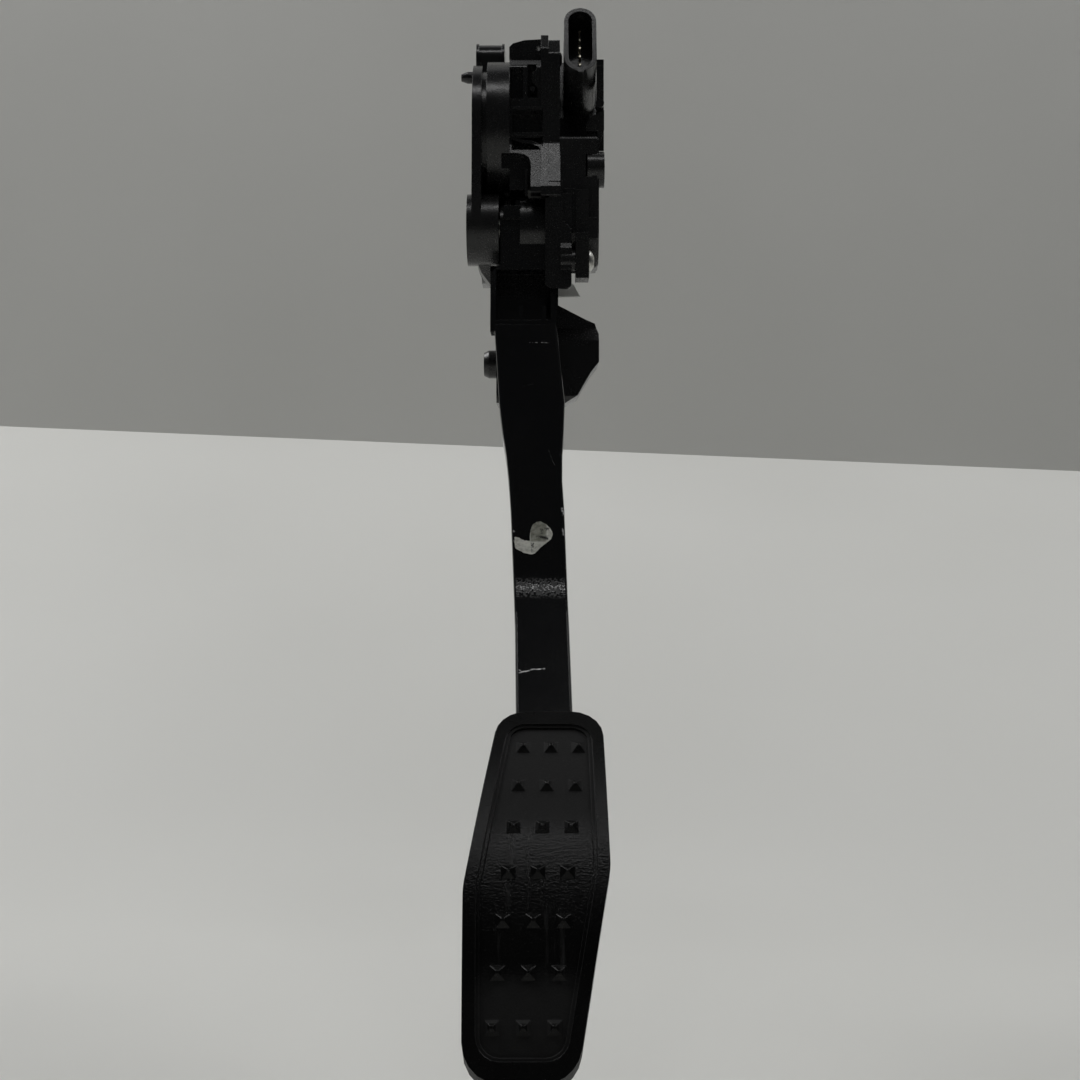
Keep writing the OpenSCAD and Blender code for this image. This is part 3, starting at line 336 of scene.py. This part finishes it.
def tread_rubber():
    """Satin black rubber: a polished worn middle with streaks, a blacker, shinier rim, and
    painted highlights along the raised edges of the rim and studs.
    """
    g = Graph("tread_rubber")
    fine = g.noise(2000.0, 3.0, 0.6)
    patch = g.noise(30.0, 4.0, 0.6)
    streaks = g.noise(110.0, 4.0, 0.65, g.stretched((2.4, 0.22, 0.22)))
    z = g.axis("Z")
    uneven_z = g.math("ADD", z, g.math("MULTIPLY", g.math("SUBTRACT", patch, 0.5), 22 * MM))
    worn = g.zone(uneven_z, WORN, smooth=True)
    lines = g.times(worn, g.between(streaks, 0.56, 0.70))

    # How far a point is from the drum's axis tells the floor, the rim and the studs apart
    out_y = g.math("SUBTRACT", g.axis("Y"), TREAD_AXIS[0])
    out_z = g.math("SUBTRACT", z, TREAD_AXIS[1])
    out = g.math("SQRT", g.math("ADD", g.math("MULTIPLY", out_y, out_y),
                                g.math("MULTIPLY", out_z, out_z)))
    rim = g.between(out, TREAD_RADIUS + 0.9 * MM, TREAD_RADIUS + 1.2 * MM)
    raised = g.between(out, TREAD_RADIUS + 0.1 * MM, TREAD_RADIUS + 0.3 * MM)
    # Sharp edges of the raised rim and studs, which get a painted highlight
    edges = g.times(g.edge_wear_and_highlight(0.35 * MM, 0.80, 0.97), raised)

    colour = g.mix(g.between(uneven_z, -225 * MM, -290 * MM), grey(0.004), grey(0.013))
    colour = g.mix(g.between(patch, 0.3, 0.75, 0.0, 0.5), colour, grey(0.006))
    colour = g.mix(worn, colour, grey(0.0030))
    colour = g.mix(g.times(lines, 0.7), colour, grey(0.024))
    colour = g.mix(g.times(rim, 0.8), colour, grey(0.0025))
    # Painted highlight: the raised edges of the rim and studs are lightened in colour
    colour = g.mix(g.times(edges, 0.5), colour, grey(0.06))
    dust = g.dust(3000.0, g.between(patch, 0.35, 0.7))
    colour = g.mix(g.times(dust, 0.35), colour, (0.16, 0.155, 0.14, 1))
    roughness = g.math("SUBTRACT", g.between(patch, 0.3, 0.7, 0.48, 0.56),
                       g.times(worn, 0.36), clamp=True)
    roughness = g.math("SUBTRACT", roughness,
                       g.times(rim, g.between(worn, 0, 1, 0.24, 0.0)), clamp=True)
    height = g.math("ADD", g.math("MULTIPLY", g.cells(1300.0), 0.8), fine)
    normal = g.bump(height, 0.06 * MM, 1.0, g.soft_edges(0.5 * MM))
    return g.output(colour, roughness, normal, specular=0.17)


def zinc_steel():
    """Zinc-plated steel with faint turning marks and dull spots."""
    g = Graph("zinc_steel")
    marks = g.noise(240.0, 3.0, 0.6, g.stretched((0.4, 4.0, 4.0)))
    spots = g.noise(520.0, 4.0, 0.65)
    colour = g.mix(g.between(spots, 0.45, 0.7), (0.60, 0.60, 0.57, 1), (0.42, 0.41, 0.37, 1))
    return g.output(colour, g.between(marks, 0.3, 0.7, 0.24, 0.42),
                    g.bump(marks, 0.02 * MM, 0.7, g.soft_edges(0.25 * MM)), metallic=1.0)


def spring_steel():
    g = Graph("spring_steel")
    marks = g.noise(900.0, 2.0)
    colour = g.mix(g.between(marks, 0.3, 0.7), grey(0.34), grey(0.46))
    return g.output(colour, g.between(marks, 0.3, 0.7, 0.22, 0.36), g.bump(marks, 0.01 * MM),
                    metallic=1.0)


def contact_metal():
    g = Graph("contact_metal")
    marks = g.noise(1500.0, 2.0)
    colour = g.mix(g.between(marks, 0.3, 0.7), (0.72, 0.66, 0.52, 1), (0.62, 0.58, 0.50, 1))
    return g.output(colour, g.between(marks, 0.3, 0.7, 0.20, 0.34),
                    g.bump(marks, 0.005 * MM, 1.0, g.soft_edges(0.1 * MM)), metallic=1.0)


def grey_plastic():
    g = Graph("grey_plastic")
    fine = g.noise(2600.0, 2.0)
    patch = g.noise(60.0, 4.0)
    colour = g.mix(g.between(patch, 0.3, 0.7), (0.66, 0.66, 0.64, 1), (0.76, 0.76, 0.74, 1))
    return g.output(colour, g.between(patch, 0.3, 0.7, 0.38, 0.52),
                    g.bump(fine, 0.03 * MM, 1.0, g.soft_edges(0.3 * MM)))


def bush_plastic():
    g = Graph("bush_plastic")
    fine = g.noise(1800.0, 2.0)
    colour = g.mix(g.between(fine, 0.3, 0.7), (0.13, 0.13, 0.12, 1), (0.19, 0.19, 0.175, 1))
    return g.output(colour, g.between(fine, 0.3, 0.7, 0.30, 0.42),
                    g.bump(fine, 0.02 * MM, 1.0, g.soft_edges(0.25 * MM)))


def stop_rubber():
    g = Graph("stop_rubber")
    fine = g.noise(1600.0, 3.0)
    colour = g.mix(g.between(fine, 0.3, 0.7), grey(0.010), grey(0.022))
    return g.output(colour, 0.72, g.bump(fine, 0.05 * MM, 1.0, g.soft_edges(0.4 * MM)))


def board_laminate():
    g = Graph("board_laminate")
    weave = g.noise(700.0, 2.0, 0.5, g.stretched((1.0, 3.0, 1.0)))
    colour = g.mix(g.between(weave, 0.3, 0.7), (0.012, 0.09, 0.035, 1), (0.02, 0.13, 0.05, 1))
    return g.output(colour, 0.34, g.bump(weave, 0.02 * MM))


def torn_paper():
    """Grey paper fibres left by a torn label: a dull patch, a paler tail, a painted highlight in
    the tail's colour along the patch's right edge, and a crack.
    """
    g = Graph("torn_paper")
    x, z = g.axis("X"), g.axis("Z")
    fibres = g.noise(420.0, 5.0, 0.7, g.stretched((1.0, 1.0, 1.6)))
    blots = g.noise(260.0, 4.0, 0.65)
    corner, right = on_arm_face(*PATCH_CORNER), on_arm_face(*PAINTED_HIGHLIGHT_EDGE).x
    patch = g.times(g.between(z, corner.z - 0.4 * MM, corner.z + 0.4 * MM),
                    g.between(x, right + 0.3 * MM, right - 0.3 * MM))
    patch = g.times(patch, g.between(x, corner.x - 0.4 * MM, corner.x))
    tail = g.mix(g.between(fibres, 0.36, 0.60), (0.50, 0.50, 0.45, 1), (0.80, 0.80, 0.74, 1))
    dull = g.mix(g.between(fibres, 0.40, 0.66), (0.20, 0.205, 0.17, 1), (0.42, 0.42, 0.36, 1))
    # The patch is dull. Right of the highlight edge it keeps the tail's paler colour, which is a
    # painted highlight
    colour = g.mix(patch, tail, dull)
    colour = g.mix(g.between(blots, 0.62, 0.68), colour, (0.03, 0.031, 0.026, 1))
    start, end = (on_arm_face(*at).xz for at in CRACK)
    colour = g.mix(scratch_mask(g, x, z, start, end, 0.9 * MM), colour, grey(0.006))
    return g.output(colour, 0.82, g.bump(fibres, 0.12 * MM))


FINISHES = {
    "black_plastic": black_plastic,
    "grey_plastic": grey_plastic,
    "bush_plastic": bush_plastic,
    "board": board_laminate,
    "chip": stop_rubber,
    "zinc_steel": zinc_steel,
    "spring_steel": spring_steel,
    "contact_brass": contact_metal,
    "stop_rubber": stop_rubber,
    "tread_rubber": tread_rubber,
}


def paint(obj, material):
    obj.data.materials.clear()
    obj.data.materials.append(material)


def dress_nodes():
    """Every CAD node gets the finish of its material slot, and the arm its own."""
    made = {slot: build() for slot, build in FINISHES.items()}
    for part in frame["record"]["subparts"]:
        if part["node"] in nodes:
            paint(nodes[part["node"]], made[part["material_slot"]])
    paint(nodes["pedal_arm"], arm_plastic())


# Pieces that only the scene makes
def add_piece(name, mesh, body, material):
    piece = bpy.data.objects.new(name, mesh)
    bpy.context.scene.collection.objects.link(piece)
    paint(piece, material)
    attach(piece, body)


def ragged(points, pieces, reach, rng):
    """The closed outline with each side cut in pieces whose ends are moved at random."""
    out = []
    for i, start in enumerate(points):
        end = points[(i + 1) % len(points)]
        for k in range(pieces):
            t = k / pieces
            out.append((start[0] + (end[0] - start[0]) * t + rng.uniform(-reach, reach),
                        start[1] + (end[1] - start[1]) * t + rng.uniform(-reach, reach)))
    return out


def label_remnant():
    """The torn blank remnant of a label."""
    outline = ragged(REMNANT, TEAR_PIECES, TEAR_REACH, random.Random(TEAR_SEED))
    steps = len(outline)
    mesh = bpy.data.meshes.new("label_remnant")
    made = bmesh.new()
    for lift in (PAPER_GAP, PAPER_GAP + PAPER_THICKNESS):
        for px, py in outline:
            made.verts.new(on_arm_face(px, py, lift))
    made.verts.ensure_lookup_table()
    made.faces.new([made.verts[i] for i in range(steps)])
    made.faces.new([made.verts[steps + i] for i in reversed(range(steps))])
    for i in range(steps):
        j = (i + 1) % steps
        made.faces.new([made.verts[k] for k in (i, steps + i, steps + j, j)])
    bmesh.ops.triangulate(made, faces=[f for f in made.faces if len(f.verts) > 4])
    bmesh.ops.recalc_face_normals(made, faces=made.faces)
    made.to_mesh(mesh)
    made.free()
    add_piece("label_remnant", mesh, "pedal", torn_paper())


# Studio
def stage_sheet(name, profile, shade):
    """A sheet that runs along X over a profile in [y, z], with a fine uneven tone."""
    half = STAGE_HALF_WIDTH
    points = [(side * half, y, z + side * half * STAGE_SIDE_SLOPE) for y, z in profile
              for side in (-1, 1)]
    faces = [(2 * i, 2 * i + 1, 2 * i + 3, 2 * i + 2) for i in range(len(profile) - 1)]
    mesh = bpy.data.meshes.new(name)
    mesh.from_pydata(points, [], faces)
    for face in mesh.polygons:
        face.use_smooth = True
    piece = bpy.data.objects.new(name, mesh)
    bpy.context.scene.collection.objects.link(piece)
    g = Graph(name)
    haze = g.noise(2.0, 2.0)
    colour = g.mix(g.between(haze, 0.3, 0.7), (shade * 0.97, shade * 0.97, shade * 0.93, 1),
                   (shade * 1.03, shade * 1.03, shade * 0.99, 1))
    paint(piece, g.output(colour, 0.50, g.bump(g.noise(60.0, 2.0), 0.05 * MM)))


def backdrop():
    """A pale floor that rises behind the object, up to a plain wall."""
    (foot_y, foot_z), (crease_y, crease_z) = FLOOR_FOOT, FLOOR_CREASE
    slope = math.atan2(crease_z - foot_z, crease_y - foot_y)
    bend_start = foot_y - FLOOR_BEND_RADIUS * math.tan(slope / 2)
    profile = [FLOOR_FRONT]
    for i in range(FLOOR_BEND_STEPS + 1):
        angle = slope * i / FLOOR_BEND_STEPS
        profile.append((bend_start + FLOOR_BEND_RADIUS * math.sin(angle),
                        foot_z + FLOOR_BEND_RADIUS * (1 - math.cos(angle))))
    stage_sheet("pale_floor", profile + [FLOOR_CREASE], FLOOR_SHADE)
    wall_foot = (crease_y - WALL_OVERLAP, crease_z - WALL_OVERLAP)
    stage_sheet("wall", [wall_foot, (crease_y, WALL_TOP)], WALL_SHADE)


def area_light(name, location, aim, size, power):
    data = bpy.data.lights.new(name, "AREA")
    data.shape = "RECTANGLE"
    data.size, data.size_y = size
    data.energy = power
    light = bpy.data.objects.new(name, data)
    light.location = location
    light.rotation_euler = (Vector(aim) - Vector(location)).to_track_quat("-Z", "Y").to_euler()
    bpy.context.scene.collection.objects.link(light)


def studio():
    """A dim world, the strip light, a soft light from behind and one high on each side."""
    world = bpy.data.worlds.new("studio")
    world.use_nodes = True
    sky = world.node_tree.nodes["Background"].inputs
    sky["Color"].default_value = (0.93, 0.96, 1.0, 1)
    sky["Strength"].default_value = 0.035
    bpy.context.scene.world = world
    towards = Vector((0, -math.cos(STRIP_HEIGHT), math.sin(STRIP_HEIGHT)))
    area_light("strip", STRIP_AIM + towards * STRIP_DISTANCE, STRIP_AIM,
               size=(1.3, 0.17), power=4.6)
    area_light("overhead", (0.0, 1.3, 1.8), (0.0, 0.0, 0.0), size=(3.0, 1.6), power=5.0)
    area_light("left", (-1.5, 0.62, 1.9), (-0.1, 0.55, -0.2), size=(1.5, 1.1), power=36.0)
    area_light("right", (1.5, 0.62, 1.9), (0.1, 0.55, -0.2), size=(1.5, 1.1), power=27.0)
    bpy.context.scene.view_settings.view_transform = "Standard"


make_camera()
dress_nodes()
label_remnant()
backdrop()
studio()
